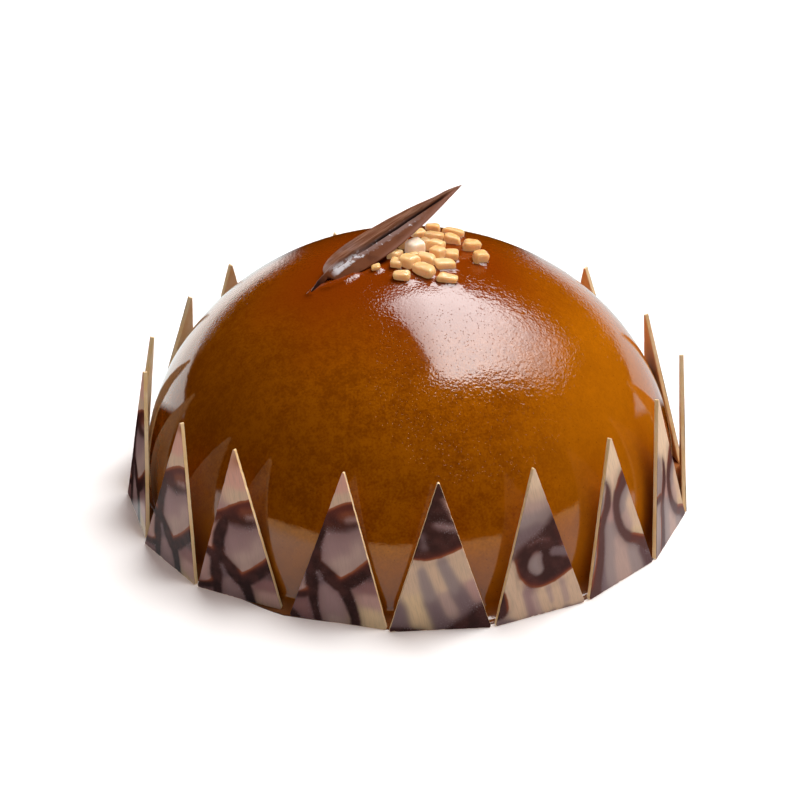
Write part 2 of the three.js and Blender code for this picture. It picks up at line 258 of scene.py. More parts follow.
# Where the leaf's stem and its front wing lie in the glaze: x, y and half the width.
LEAF_CONTACT = np.array([
    (-30.8, -14.1, 0.9), (-28.5, -12.2, 1.0), (-25.0, -12.4, 1.3), (-21.0, -11.4, 1.2), (-17.5, -9.4, 0.8),
])


def mottle(points, cell, seed):
    """Smooth noise from -1 to 1: a random value at each corner of a lattice of that cell, blended
    between the eight corners round a point by 3t² - 2t³ along each axis."""
    table = np.random.default_rng(seed).uniform(-1, 1, (64, 64, 64))
    place = np.asarray(points) / cell
    corner = np.floor(place).astype(int)
    t = place - corner
    t = t * t * (3 - 2 * t)
    total = np.zeros(place.shape[:-1])
    for shift in np.ndindex(2, 2, 2):
        weight = np.prod(np.where(np.array(shift, bool), t, 1 - t), axis=-1)
        i, j, k = np.moveaxis((corner + shift) % 64, -1, 0)
        total += weight * table[i, j, k]
    return total


def dome_height(x, y):
    """Height of the dome: the skirt, and the rise times the root of 1 - (distance / radius)²."""
    return SKIRT_HEIGHT + DOME_RISE * np.sqrt(np.clip(1 - (x * x + y * y) / DOME_RADIUS**2, 0, 1))


def dome_normal(points):
    """Outward direction on the dome: x and y over radius², height above the skirt over rise²."""
    slope = points * [DOME_RADIUS**-2, DOME_RADIUS**-2, DOME_RISE**-2]
    slope[..., 2] = np.clip(points[..., 2] - SKIRT_HEIGHT, 0, None) / DOME_RISE**2
    return slope / np.linalg.norm(slope, axis=-1, keepdims=True)


def path_inside(x, y, path):
    """How far inside a brush stroke a point lies: half the stroke's width where the path passes
    closest, less the distance to it, the largest over the path's straight pieces."""
    inside = np.full(np.shape(x), -99.0)
    for (ax, ay, aw), (bx, by, bw) in zip(path[:-1], path[1:]):
        length = max((bx - ax) ** 2 + (by - ay) ** 2, 1e-9)
        share = np.clip(((x - ax) * (bx - ax) + (y - ay) * (by - ay)) / length, 0, 1)
        away = np.hypot(x - ax - share * (bx - ax), y - ay - share * (by - ay))
        inside = np.maximum(inside, aw + share * (bw - aw) - away)
    return inside


def glaze_climb(x, y):
    """Rise of the glaze at the foot of the nibs and the leaf: for each piece exp(-distance from
    its outline / reach), added up to a limit, times the climb. A nib's outline is a squared
    ellipse (|x/a|^p + |y/b|^p)^(1/p) = 1."""
    total = np.zeros(np.shape(x))
    for at_x, at_y, turn, length, width, _, _ in NIBS:
        c, s = np.cos(np.radians(turn)), np.sin(np.radians(turn))
        u, v = (x - at_x) * c + (y - at_y) * s, (y - at_y) * c - (x - at_x) * s
        u_share, v_share = np.abs(u / (NIB_OUTLINE_SHARE * length)), np.abs(v / (NIB_OUTLINE_SHARE * width))
        size = (u_share**NIB_OUTLINE_POWER + v_share**NIB_OUTLINE_POWER) ** (1 / NIB_OUTLINE_POWER)
        away = np.clip(size - 1, 0, None) * np.hypot(u, v) / np.maximum(size, 0.01)
        total += np.exp(-away / GLAZE_CLIMB_REACH)
    total += np.exp(np.minimum(path_inside(x, y, LEAF_CONTACT), 0) / GLAZE_CLIMB_REACH)
    return GLAZE_CLIMB * np.minimum(total, GLAZE_CLIMB_LIMIT)


def glaze_rings():
    """The skin ring by ring, from the pole over dome and skirt, out round the hollow bead of the
    foot and back under the cake. Ring radius = dome radius · sin a and height = skirt + rise ·
    cos a; the bead is a quarter circle between skirt and table. The poured glaze is pushed out
    along the normal by soft ripples and by its climb at the nibs. Between the triangles' middles
    the bead is drawn out to their plane, at the pool's distance / cos of the turn from a middle."""
    fine = np.arcsin(np.linspace(UNDER_RINGS[-1], NIBS_REACH, FINE_RINGS) / DOME_RADIUS)
    coarse = np.linspace(fine[-1], np.pi / 2, COARSE_RINGS)[1:]
    angle = np.concatenate([fine, coarse])
    bead = np.linspace(np.pi / 2, 0, BEAD_RINGS)
    radius = np.concatenate([
        DOME_RADIUS * np.sin(angle), np.full(len(SKIRT_RINGS_AT), DOME_RADIUS),
        FOOT_RADIUS - (FOOT_RADIUS - DOME_RADIUS) * np.sin(bead), UNDER_RINGS,
    ])
    height = np.concatenate([
        SKIRT_HEIGHT + DOME_RISE * np.cos(angle), SKIRT_RINGS_AT,
        FOOT_HEIGHT * (1 - np.cos(bead)), np.zeros(len(UNDER_RINGS)),
    ])
    turn = np.linspace(0, 2 * np.pi, GLAZE_SIDES, endpoint=False)
    x, y = radius[:, None] * np.cos(turn), radius[:, None] * np.sin(turn)
    rings = np.stack([x, y, np.broadcast_to(height[:, None], x.shape)], axis=-1)
    poured = np.clip((rings[..., 2] - RIPPLES_FROM) / RIPPLES_RISE, 0, 1)
    ripple = sum(high * mottle(rings, wide, seed) for seed, (wide, high) in enumerate(GLAZE_RIPPLES, 1))
    climb = np.where(radius[:, None] < NIBS_REACH, glaze_climb(x, y), 0) * (rings[..., 2] > CLIMB_ABOVE)
    rings += dome_normal(rings) * (poured * ripple + climb)[..., None]
    facing = np.radians(np.array(PLATES_AT) - 90)
    turned_off = np.abs((turn[:, None] - facing + np.pi) % (2 * np.pi) - np.pi).min(axis=1)
    waver = POOL_WAVER * (1 + mottle(rings * [1, 1, 0], POOL_WAVER_LENGTH, 4))
    pool = (POOL_DISTANCE / np.cos(turned_off)) / FOOT_RADIUS - 1 - waver
    spread = np.clip((radius[:, None] - DOME_RADIUS) / (FOOT_RADIUS - DOME_RADIUS), 0, 1)
    rings[..., :2] *= 1 + (pool * spread)[..., None]
    return rings


def closed_shell(rings):
    """Corners and faces of a closed surface: quads between neighbouring rings, and a fan to the
    middle of the first and of the last ring. All faces are turned over if the enclosed volume,
    a sixth of the sum of a · (b × c) over the triangles, is below zero."""
    count, around = rings.shape[:2]
    here = np.arange(count * around).reshape(count, around)
    beside = np.roll(here, -1, axis=1)
    quads = np.stack([here[:-1], beside[:-1], beside[1:], here[1:]], axis=-1).reshape(-1, 4)
    first = np.stack([beside[0], here[0], np.full(around, count * around)], axis=-1)
    last = np.stack([here[-1], beside[-1], np.full(around, count * around + 1)], axis=-1)
    corners = np.concatenate([rings.reshape(-1, 3), rings[[0, -1]].mean(axis=1)])
    triangles = np.concatenate([quads[:, [0, 1, 2]], quads[:, [0, 2, 3]], first, last])
    a, b, c = np.moveaxis(corners[triangles], 1, 0)
    if np.sum(a * np.cross(b, c)) < 0:
        quads, first, last = quads[:, ::-1], first[:, ::-1], last[:, ::-1]
    return corners, [*quads.tolist(), *first.tolist(), *last.tolist()]


def make_piece(name, corners, faces, material, **marks):
    """A smooth mesh from corners in millimetres. Each mark is one number, or one colour, for
    every corner, which the material reads by the mark's name."""
    mesh = bpy.data.meshes.new(name)
    mesh.from_pydata((corners * MM).tolist(), [], faces)
    mesh.shade_smooth()
    for mark, values in marks.items():
        if values.ndim == 1:
            mesh.attributes.new(mark, "FLOAT", "POINT").data.foreach_set("value", values)
        else:
            coloured = np.concatenate([values, np.ones((len(values), 1))], axis=1)
            mesh.attributes.new(mark, "FLOAT_COLOR", "POINT").data.foreach_set("color", coloured.ravel())
    mesh.materials.append(material)
    piece = bpy.data.objects.new(name, mesh)
    scene.collection.objects.link(piece)
    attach(piece, "root")
    return piece


class Finish(Nodes):
    """A piece's material: its nodes, and short names for those that the pieces share."""

    def __init__(self, name):
        self.material = bpy.data.materials.new(name)
        super().__init__(self.material)
        self.place = self.add("ShaderNodeTexCoord", output="Object")

    def noise(self, size, detail=2.0, **sockets):
        """Soft noise from 0 to 1 with lumps of about that size in millimetres."""
        sockets = {"Vector": self.place, "Scale": 1 / (size * MM), "Detail": detail, **sockets}
        return self.add("ShaderNodeTexNoise", sockets)

    def cells(self, size, output):
        """Cells of about that size in millimetres: the distance from their middles, or a random
        colour for each."""
        sockets = {"Vector": self.place, "Scale": 1 / (size * MM), "Randomness": 1.0}
        return self.add("ShaderNodeTexVoronoi", sockets, output)

    def mark(self, name, output="Fac"):
        """What a corner's mark of that name says."""
        return self.add("ShaderNodeAttribute", output=output, attribute_name=name)

    def away_from(self, place):
        """Distance from a place on the piece, in metres."""
        return self.add("ShaderNodeVectorMath", [self.place, place], "Value", operation="DISTANCE")

    def step(self, value, low, high):
        """0 up to low, 1 from high on and a smooth rise between; low may be the larger."""
        sockets = {"Value": value, "From Min": low, "From Max": high}
        return self.add("ShaderNodeMapRange", sockets, interpolation_type="SMOOTHSTEP")

    def bump(self, height, depth, normal=None):
        """A normal from a height, where a height of 1 stands depth millimetres proud."""
        sockets = {"Height": height, "Distance": depth * MM, "Strength": 1.0}
        if normal:
            sockets["Normal"] = normal
        return self.add("ShaderNodeBump", sockets)

    def close(self, **sockets):
        """The shader that ends the material, its sockets named with _ for a space."""
        named = {key.replace("_", " "): value for key, value in sockets.items()}
        shader = self.add("ShaderNodeBsdfPrincipled", named)
        self.add("ShaderNodeOutputMaterial", {"Surface": shader})
        return self.material


def caramel_glaze():
    """Clear amber over pale mousse: redder where it lies thick at the top, faintly cloudy, and full
    of fine dark specks of burnt sugar. Painted light and shade: golden on the right, where the
    light falls, darker on the left, in shade, and paler and tan towards the foot, where the white
    table lights it and is mirrored in it. Its skin is smooth in front of the nibs, pebbled round
    that, wrinkled on the upper right and pitted between."""
    golden, amber = (0.375, 0.096, 0.0009, 1), (0.225, 0.050, 0.0006, 1)
    # The bright golden colour is painted light: on the right, where the lamp falls, and low down, for the
    # white table's light. The dark is painted shade on the left, and the foot's tan is painted light and
    # reflection from the table.
    red, foot_table_glow = (0.20, 0.030, 0.0006, 1), (0.30, 0.10, 0.03, 1)
    speck_brown, thin, dark = (0.09, 0.016, 0.0005, 1), (0.44, 0.125, 0.002, 1), (0.13, 0.028, 0.0006, 1)
    smooth_place, smooth_reach = (0.011, -0.034, 0.074), (0.012, 0.024)
    pitted_place, pitted_reach = (0.019, -0.050, 0.062), (0.036, 0.026)
    finish = Finish("caramel_glaze")
    step, mix, noise = finish.step, finish.mix, finish.noise
    height = finish.axis(finish.place, 2)
    cloud = noise(11.0, 4.0) * 0.35 + noise(2.6, 2.0) * 0.30 + noise(0.75, 1.0) * 0.35
    colour = mix(step(cloud, 0.36, 0.64), amber, golden)
    # painted light: paler towards the foot, for the light and reflection of the white table in front
    colour = mix(0.7 * step(height, 0.030, 0.012), colour, thin)
    side = finish.axis(finish.place, 0) + (noise(30.0) - 0.5) * 0.03
    # painted shade on the left side and painted light on the right side
    colour = mix(0.55 * step(side, -0.005, -0.060), colour, dark)
    colour = mix(0.6 * step(side, 0.015, 0.070), colour, thin)
    thick = step(height + (noise(22.0) - 0.5) * 0.014, 0.062, 0.083)
    colour = mix(thick, colour, red)
    # painted reflection and bounce light of the white table: tan at the foot
    colour = mix(step(height, 0.004, 0.001), colour, foot_table_glow)
    pick = finish.add("ShaderNodeSeparateColor", [finish.cells(1.5, "Color")], 0)
    speck = step(finish.cells(1.5, "Distance"), 0.20, 0.07) * step(pick, 0.45, 0.75)
    colour = mix(speck * 0.5, colour, speck_brown)
    pebbled = step(finish.away_from(smooth_place) + (noise(9.0) - 0.5) * 0.012, *smooth_reach)
    pebbled = (0.12 + 0.88 * pebbled) * (0.16 + 0.84 * step(height, 0.050, 0.062))
    peel = finish.bump(noise(0.85, 1.5) * pebbled, 0.10)
    wrinkled = step(side, 0.010, 0.026) * step(height, 0.046, 0.060)
    peel = finish.bump(noise(2.2, 2.5, Distortion=0.6) * wrinkled, 0.14, peel)
    pit = step(finish.cells(1.0, "Distance"), 0.20, 0.10)
    pit = pit * step(finish.away_from(pitted_place), *pitted_reach)
    normal = finish.bump(pit, -0.10, peel)
    return finish.close(Base_Color=colour, Roughness=0.06, IOR=1.5, Normal=normal)


glaze = make_piece("glaze", *closed_shell(glaze_rings()), caramel_glaze())
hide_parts("cake")

# The nibs. Roasted nuts chopped small and tumbled in clear sugar, dropped by hand in a loose
# heap on the wet glaze beside the leaf.

NIB_SIDES = 44
NIB_RINGS = 26
NIB_SQUARENESS = 0.48
NIB_PLUMP = np.array([1.02, 1.18, 1.26])  # against their solid sizes
NIB_SINK = 0.18  # a share of its height
NIB_TAPER, NIB_SHEAR, NIB_BOW = 0.13, 0.25, 0.06  # at most
NIB_LUMP, NIB_LUMP_LENGTH = 0.09, 2.1
NIB_SHARES = (0.95, 0.97)  # of its length and width, less what the shear and the lumps add
PALE_NIB = 10  # one is a blanched cube


def nib_rings(number):
    """One nib, end to end. A ball's coordinates are pressed towards a box, sign(c) · |c|^power,
    and scaled to the nib's size. It tapers to one end, its ends are sheared as the knife cut
    them and soft lumps are pushed out of it. Then it is tipped from upright to the dome's normal
    about side = up × normal: v cos + side × v + side (side · v) / (1 + cos)."""
    at_x, at_y, turn, length, width, height, lift = NIBS[number]
    length, width, height = NIB_PLUMP * np.array([length, width, height])
    chance = np.random.default_rng(100 + number)
    around = np.linspace(0, 2 * np.pi, NIB_SIDES, endpoint=False)
    over = np.linspace(0.03, np.pi - 0.03, NIB_RINGS)[:, None]
    ball = [np.cos(over) + 0 * around, np.sin(over) * np.cos(around), np.sin(over) * np.sin(around)]
    ball = np.stack(ball, axis=-1)
    box = np.sign(ball) * np.abs(ball) ** NIB_SQUARENESS
    taper = chance.uniform(-NIB_TAPER, NIB_TAPER)
    shear, lean = chance.uniform(-NIB_SHEAR, NIB_SHEAR), chance.uniform(-NIB_SHEAR, NIB_SHEAR)
    bow = chance.uniform(-NIB_BOW, NIB_BOW)
    box[..., 1:] *= NIB_SHARES[1] + taper * box[..., :1]
    box[..., 2] += bow * (1 - box[..., 0] ** 2)
    sheared = (shear * box[..., 1] * width + lean * box[..., 2] * height) / length
    box[..., 0] = NIB_SHARES[0] * box[..., 0] + sheared
    shape = box * np.array([length, width, height]) / 2
    shape *= 1 + NIB_LUMP * mottle(shape + 7 * number, NIB_LUMP_LENGTH, 5)[..., None]
    c, s = np.cos(np.radians(turn)), np.sin(np.radians(turn))
    x, y, z = np.moveaxis(shape, -1, 0)
    shape = np.stack([c * x - s * y, s * x + c * y, z], axis=-1)
    foot = np.array([at_x, at_y, dome_height(at_x, at_y)])
    up = dome_normal(foot)
    side = np.cross([0.0, 0.0, 1.0], up)
    cosine = up[2]
    laid = shape * cosine + np.cross(side, shape) + side * (shape @ side)[..., None] / (1 + cosine)
    return foot + up * (height * (0.5 - NIB_SINK) + lift) + laid


def roasted_nut():
    """Pale roasted nut under clear sugar: creamy, browner in patches and in its cut pores. A weak
    glow of its own is painted light, which brightens the nibs' shaded sides."""
    cream, toast = (0.77, 0.50, 0.25, 1), (0.74, 0.42, 0.17, 1)
    blanched, brown = (0.88, 0.68, 0.52, 1), (0.42, 0.19, 0.05, 1)
    finish = Finish("roasted_nut")
    step, mix, noise = finish.step, finish.mix, finish.noise
    batch = finish.mark("roast")
    colour = mix(step(noise(2.6, 3.0) + batch * 0.4, 0.45, 0.95), cream, toast)
    colour = mix(step(batch, -0.5, -0.9), colour, blanched)
    pore = step(noise(0.5, 2.0), 0.64, 0.76)
    colour = mix(pore * 0.3, colour, brown)
    grain = finish.bump(noise(1.1, 2.0), 0.12)
    return finish.close(
        Base_Color=colour, Roughness=0.22, IOR=1.45, Normal=grain,
        Subsurface_Weight=1.0, Subsurface_Radius=(1.0, 0.8, 0.6), Subsurface_Scale=0.003,
        # painted light: a weak glow of its own colour brightens the shaded sides
        Emission_Color=colour, Emission_Strength=0.20,
    )


nib_corners, nib_faces, nib_roast = [], [], []
for number in range(len(NIBS)):
    corners, faces = closed_shell(nib_rings(number))
    start = sum(len(part) for part in nib_corners)
    nib_corners.append(corners)
    nib_faces += [[start + corner for corner in face] for face in faces]
    roast = -1.0 if number == PALE_NIB else np.random.default_rng(300 + number).uniform(0, 1)
    nib_roast.append(np.full(len(corners), roast))
nib_corners, nib_roast = np.concatenate(nib_corners), np.concatenate(nib_roast)
nibs = make_piece("nibs", nib_corners, nib_faces, roasted_nut(), roast=nib_roast)
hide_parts("cake")

# The triangles. White chocolate is poured on a sheet printed with cocoa butter, cut into long
# triangles when half set, peeled off and stood round the foot of the cake, print side out.

PLATE_HEIGHT = 49.8
PLATE_THICKNESS = 1.5
PLATE_TIP_RADIUS = 0.45
PLATE_DISTANCE = 90.0
PLATE_EDGE = 0.2  # radius of the worn edges, at most this share of half the width
PLATE_EDGE_SHARE = 0.45
PRINT_STEPS, REAR_STEPS, SIDE_STEPS = 64, 26, 7  # corners across the faces and the cut sides
EDGE_TURNS = np.radians(np.arange(18, 90, 18))
PLATE_ROWS = np.concatenate([  # heights, closer together at the foot and at the tip
    [0.0, 0.03, 0.09, 0.2], np.arange(0.6, 49.2, 0.55), [49.3, 49.45, 49.6, 49.7, 49.76, 49.79],
])
FOOT_CUT, FOOT_CUT_HEIGHT = 0.5, 0.9  # taken off each lower corner
WORN_SHARE = 0.9  # of the edge's radius, worn off the foot
NICK_DEPTH, NICK_LENGTH, NICK_REACH = 0.45, 1.1, 2.0  # in the foot
SIDE_WAVER, SIDE_WAVER_LENGTH, SIDE_POWER = 0.12, 1.6, 12  # the power keeps it to the sides
FACE_WARP, FACE_WARP_LENGTH, FACE_WARP_INWARD = 0.05, 8.0, 0.6

# The print's tints over white chocolate. A wash fades with this power of its distance, against
# the weight of bare ivory, and the chocolate turns plum towards the dark by a share that fades
# over a reach.
WASH_POWER, BARE_WEIGHT = -2.5, 1e-4
HALO_SHARE, HALO_REACH = 0.65, 1.3
DARK_LIMIT = 3.0  # the dark's depth is told apart up to here
TINTS = {
    "cream": (0.95, 0.67, 0.45), "ivory": (0.76, 0.51, 0.345), "butter": (0.84, 0.58, 0.34),
    "blush": (0.80, 0.41, 0.31), "pink": (0.58, 0.33, 0.28), "rose": (0.31, 0.14, 0.13),
    "mauve": (0.55, 0.36, 0.30), "lilac": (0.40, 0.235, 0.225), "mist": (0.37, 0.27, 0.25),
    "slate": (0.23, 0.15, 0.155), "plum": (0.12, 0.055, 0.055), "rust": (0.20, 0.05, 0.03),
    "amber": (0.40, 0.12, 0.03),
}

# The four motifs of the printed sheet, in millimetres on a triangle. The ink is how thick the
# print lies, up to 1. Strokes and holes are paths of (x, y, half width), a hole with its
# sharpness; a band is the dark between an upper and a lower curve of (x, y), each with its
# sharpness; washes are soft tints along a line (x, y, x, y, reach, tint); rims are where the
# dark's border turns orange (x, y, x, y, reach, strength).
NET = {
    "ink": 1.0,
    "strokes": [
        [(-6.2, 33, 1.8), (-6.8, 30, 2), (-8, 26, 2.1), (-8.2, 23.5, 2.1), (-8.3, 20, 2.5),
         (-8.3, 16, 2.6), (-8.6, 12.5, 2.2), (-8.4, 9, 1.8), (-7.6, 5, 1.25), (-6.3, 0, 1.1),
         (-5.6, -3, 1.1)],
        [(-8, 19, 2.2), (-4.5, 16.2, 2.2), (-1.5, 14, 2.3), (0.6, 12.9, 2.4), (4, 14.9, 2.4),
         (7.5, 18, 2.3), (12, 22.6, 2.4)],
        [(0.6, 13, 2.3), (2.7, 9.5, 1.9), (4.2, 6, 1.7), (5.4, 2.5, 1.6), (6.2, -2, 1.6)],
        [(-16, 21, 1), (-12.5, 20.2, 1.3), (-9.5, 19, 2)],
        [(-16, 7.4, 1.1), (-12, 8, 1.2), (-9, 9.3, 1.6)],
        [(-16, 2.5, 1), (-13.6, 0.3, 1.3), (-12.5, -2, 1.3)],
    ],
    "bands": [
        ([(-14, 32), (-7.5, 35.2), (-3.8, 37.6), (0.3, 39.9), (3.4, 40.9), (9, 41.5)], 1,
         [(-14, 29.4), (-5, 30.5), (0, 30.6), (3, 31.5), (6, 32.9), (12, 34)], 0.4),
    ],
    "holes": [
        ([(-6.7, 15.8, 0.7), (-5.7, 13.4, 0.9)], 0.8),
        ([(1.8, 34.4, 0.5), (4.6, 35, 0.8)], 0.35),
    ],
    "washes": [
        (0, 56, 0, 55.5, 2, "ivory"), (-1, 52.4, 1, 52.4, 1.9, "amber"), (0, 50.5, 0, 45, 2.6, "blush"),
        (-3, 40.5, 3, 43, 1.5, "ivory"), (-4, 27, 2, 27, 4, "lilac"), (5, 26, 6, 22, 2.4, "mauve"),
        (1, 18.5, 2, 20, 2.6, "mauve"), (7, 17.5, 11, 17, 1.8, "plum"), (7.5, 13, 11, 13, 2, "rose"),
        (9, 8.5, 13, 8.5, 2, "pink"), (9, 3, 15, 1.5, 2.8, "butter"), (-2.5, 7, -1.5, 4, 3, "lilac"),
        (-1.5, 1.5, 0, 0, 1.6, "mauve"), (-12, 6, -11, 2, 2.2, "rose"), (-12, 16, -11.4, 11, 1.8, "pink"),
        (-11, 31, -10.5, 23, 1.6, "blush"), (-6.5, 15.5, -5.8, 13.5, 1, "slate"),
        (2.5, 35.4, 6, 35.4, 1, "pink"),
    ],
    "rims": [
        (-12, 33.4, -3.8, 37.6, 3, 0.9), (-3.8, 37.6, 8, 41.2, 4, 1), (-6.6, 21, 0.6, 15.4, 1.3, 0.12),
        (0.6, 15.4, 9.4, 22.4, 1.6, 0.9), (-14, 21.8, -10, 21, 1, 0.6), (-14, 9.4, -10.5, 10, 1, 0.8),
    ],
}
CAP = {
    "ink": 0.9,
    "strokes": [
        [(-16, 0.3, 1.3), (-10, 0.1, 1), (-5, -0.6, 0.9)],
    ],
    "bands": [
        ([(-20, 90), (20, 90)], 1,
         [(-14, 26.5), (-8.25, 24.4), (-3.9, 23.9), (0.2, 24.75), (3.6, 26), (6.75, 27.6),
          (12, 30.6)], 1),
        ([(-3, -3), (1.5, 0.2), (5, 2.6), (8.5, 5.2), (11.5, 7.8), (16, 10)], 0.4,
         [(-20, -40), (20, -40)], 1),
    ],
    "holes": [
        ([(-1.2, 35.9, 0.9), (1.5, 35.2, 1.2), (4.8, 34.6, 1.4)], 0.5),
        ([(-5.6, 32.4, 0.7), (-4.9, 28.6, 0.7)], 0.4),
        ([(1, 44.5, 0.2), (2.4, 42, 0.8), (4.6, 37.5, 0.6)], 0.5),
    ],
    "washes": [
        (-8.2, 22, -8.6, 14, 1.8, "ivory"), (-13, 7, -12, 1, 2.4, "slate"),
        (-8.4, 11, -5.8, 1, 2, "butter"), (-6, 20, -2.9, 10.5, 1.6, "mist"),
        (-2.4, 9, 0.8, 1.3, 1.9, "slate"), (-3.2, 22.5, 0.6, 14, 1.5, "ivory"),
        (1.2, 12, 3.4, 6.5, 1.5, "mauve"), (0.9, 22.4, 4.6, 13, 1.5, "mist"),
        (5.6, 12, 8.6, 7.5, 2.2, "slate"), (4.6, 23.8, 8.2, 18.5, 1.8, "ivory"),
        (9.6, 15.5, 11.5, 11, 1.5, "pink"), (0, 36, 4, 35, 2.2, "lilac"), (-5, 33, -5, 28, 1.4, "slate"),
        (1.6, 43.4, 4, 38, 1.2, "blush"),
    ],
    "rims": [
        (-10, 25, -3.9, 23.9, 1.3, 0.7), (-3.9, 23.9, 3.6, 26, 1.5, 0.95), (3.6, 26, 9, 28.8, 1.8, 1),
    ],
}
EYE = {
    "ink": 0.8,
    "strokes": [
        [(-14.9, 9, 3.1), (-14.6, 5.5, 3.6)],
    ],
    "bands": [
        ([(-12, 19), (-9, 21.5), (-6, 24.4), (-3, 26), (0, 27.5), (3, 30.5), (6, 34), (10, 36)], 0.4,
         [(-10.5, 26), (-8.6, 19.8), (-7.7, 16), (-6.4, 13.2), (-4.1, 10.6), (-1.5, 9.5), (0.9, 9.2),
          (3, 9.4), (5.25, 10), (9, 11.6), (12.5, 13.4), (15, 14.6)], 1),
    ],
    "holes": [
        ([(-0.9, 20, 2), (-1.5, 17.6, 2.6), (-0.5, 15.6, 2)], 1),
        ([(5.4, 20.4, 1.6), (9.2, 19.6, 1.8)], 0.8),
        ([(-3.5, 24.6, 0.3), (0, 25.6, 0.5), (3.4, 25, 0.3)], 0.5),
    ],
    "washes": [
        (0, 50, 0, 45, 3.6, "cream"), (-1, 41, 1.5, 41, 2.8, "ivory"), (-2, 37.6, 3, 37.6, 3.2, "mauve"),
        (-4, 33, 3, 34, 3, "mist"), (-6, 28.5, -1, 30.5, 2.2, "slate"), (-2, 18, -1, 16, 2, "mist"),
        (5, 20.4, 8, 19.8, 1.8, "slate"), (-6.2, 16, -5.2, 20.6, 1.2, "rust"),
        (-4.6, 22, 0, 24.4, 1.3, "rust"), (0, 24.4, 4, 24.6, 1.3, "rust"),
        (-9.6, 17, -11.2, 10, 2, "ivory"), (-8.4, 9, -6.8, 1, 1.7, "ivory"),
        (-4.8, 8.4, -2.8, 1, 1.3, "lilac"), (-2.2, 6.6, -0.6, 1, 1, "mauve"),
        (0.6, 7.4, 2.4, 1, 1.3, "ivory"), (3, 8, 4, 4, 0.8, "mauve"), (5.2, 8, 6.6, 1, 1.2, "ivory"),
        (8, 9, 9.4, 3, 0.9, "mauve"), (10.5, 10, 12, 2, 1.5, "ivory"), (-13, -0.8, 13, -0.8, 1, "slate"),
    ],
    "rims": [
        (-8.6, 19.8, -6.4, 13.2, 1.2, 0.5), (-6.4, 13.2, 0.9, 9.2, 1.3, 0.8),
        (0.9, 9.2, 9, 11.6, 1.5, 0.9), (9, 11.6, 13, 13.6, 1.7, 1), (12, 14, 6.4, 28, 1, 0.5),
        (-11.8, 11, -11.2, 5, 1, 0.8),
    ],
}
LOOP = {
    "ink": 0.2,
    "strokes": [
        [(-5, 36.4, 0.2), (-4.4, 34, 0.9), (-4.5, 31, 1.5), (-5.1, 28, 1.8), (-6.9, 25, 1.6),
         (-8.6, 21, 1.7), (-9.1, 16, 1.9), (-10.1, 10.5, 2.1), (-12.2, 4, 2.6), (-13.4, 0, 3)],
        [(5.4, 37.2, 2.3), (3.2, 34, 2.6), (0.5, 30.5, 2), (-0.7, 27, 1.65), (-0.6, 23.5, 1.45),
         (0.4, 19.5, 1.45), (2.2, 16, 1.5), (5, 13.2, 1.7), (9, 11, 1.8), (14, 7.5, 2.4)],
        [(-15, 25.6, 1.2), (-10, 25, 1.5), (-8, 24, 1.4)],
    ],
    "bands": [],
    "holes": [],
    "washes": [
        (0, 58, 0, 40, 4, "cream"), (0, 38, 1, 36, 2.4, "ivory"), (-2, 33, -1.8, 30, 1.4, "ivory"),
        (-2.6, 27, -2.8, 24, 1.6, "pink"), (-4.8, 19, -3.6, 12, 2.8, "mist"),
        (3, 30, 2.4, 24, 1.7, "mist"), (3.4, 22, 4.8, 18, 1.8, "mauve"), (6, 25, 9, 17, 2, "ivory"),
        (8, 15, 11, 13.4, 1.3, "butter"), (-5.5, 10, -4.5, 3, 2.6, "mist"),
        (-1.4, 14, -0.6, 3, 2.2, "mauve"), (1.6, 10, 3.2, 1, 1.4, "mauve"), (6, 8, 8, 2, 2.4, "mist"),
        (11, 6.5, 13, 2, 1.8, "plum"), (-9.5, 7, -8.4, 1, 1.8, "slate"), (-9.5, 36, -9, 29, 1.8, "mist"),
    ],
    "rims": [
        (6, 39, 1.2, 33, 2, 0.9), (7, 12.8, 12.5, 10.6, 1.5, 1), (-6.2, 33, -10.4, 18, 1, 0.6),
        (-10.4, 18, -14, 4, 1.2, 0.9), (-14, 26.6, -10, 26.4, 1, 0.8),
    ],
}

# Each triangle: its lean and turn in degrees, the shift of its tip, how far it stands out, its
# width, its motif and how far the motif is shifted on it.
PLATES = [
    (2, 0, 0, 0.4, 30.9, LOOP, 0.5, -3), (5, 0, 2, 0, 30.9, EYE, -1, 2),
    (9, 0, -1.5, -0.4, 30.8, CAP, 1, -2), (7, 0, 0.8, 0, 30.6, NET, -0.5, -1),
    (4.8, 1, -4.2, -0.2, 30.6, NET, -1.5, -2), (5.4, -0.6, 0.8, 1.1, 31, NET, 0.8, -4.7),
    (5, 8, -3.6, -0.8, 30.4, NET, 0.3, -6), (7.4, -1.5, 0, -0.8, 31.4, NET, 0, 0),
    (3.6, -0.8, -0.4, 0.9, 31.7, CAP, 0, 0), (4.6, 1.2, -0.8, 0.7, 31.7, EYE, 0, 0),
    (5.3, 1.4, -1.3, 0, 31.7, LOOP, 0, 0), (5.5, 1.6, -2.1, -0.4, 31.4, LOOP, 2.1, -7),
    (2.3, 0, -1.2, -0.5, 30.9, EYE, 1, -4), (9, 0, -0.6, -0.4, 30.9, NET, 1, -3),
    (7, 0, 0, 0, 30.9, CAP, -1.5, 3), (9, 0, 0.8, 0, 30.9, EYE, 0.5, 1),
    (9, 0, -0.6, 0, 30.9, NET, -0.5, -5),
]


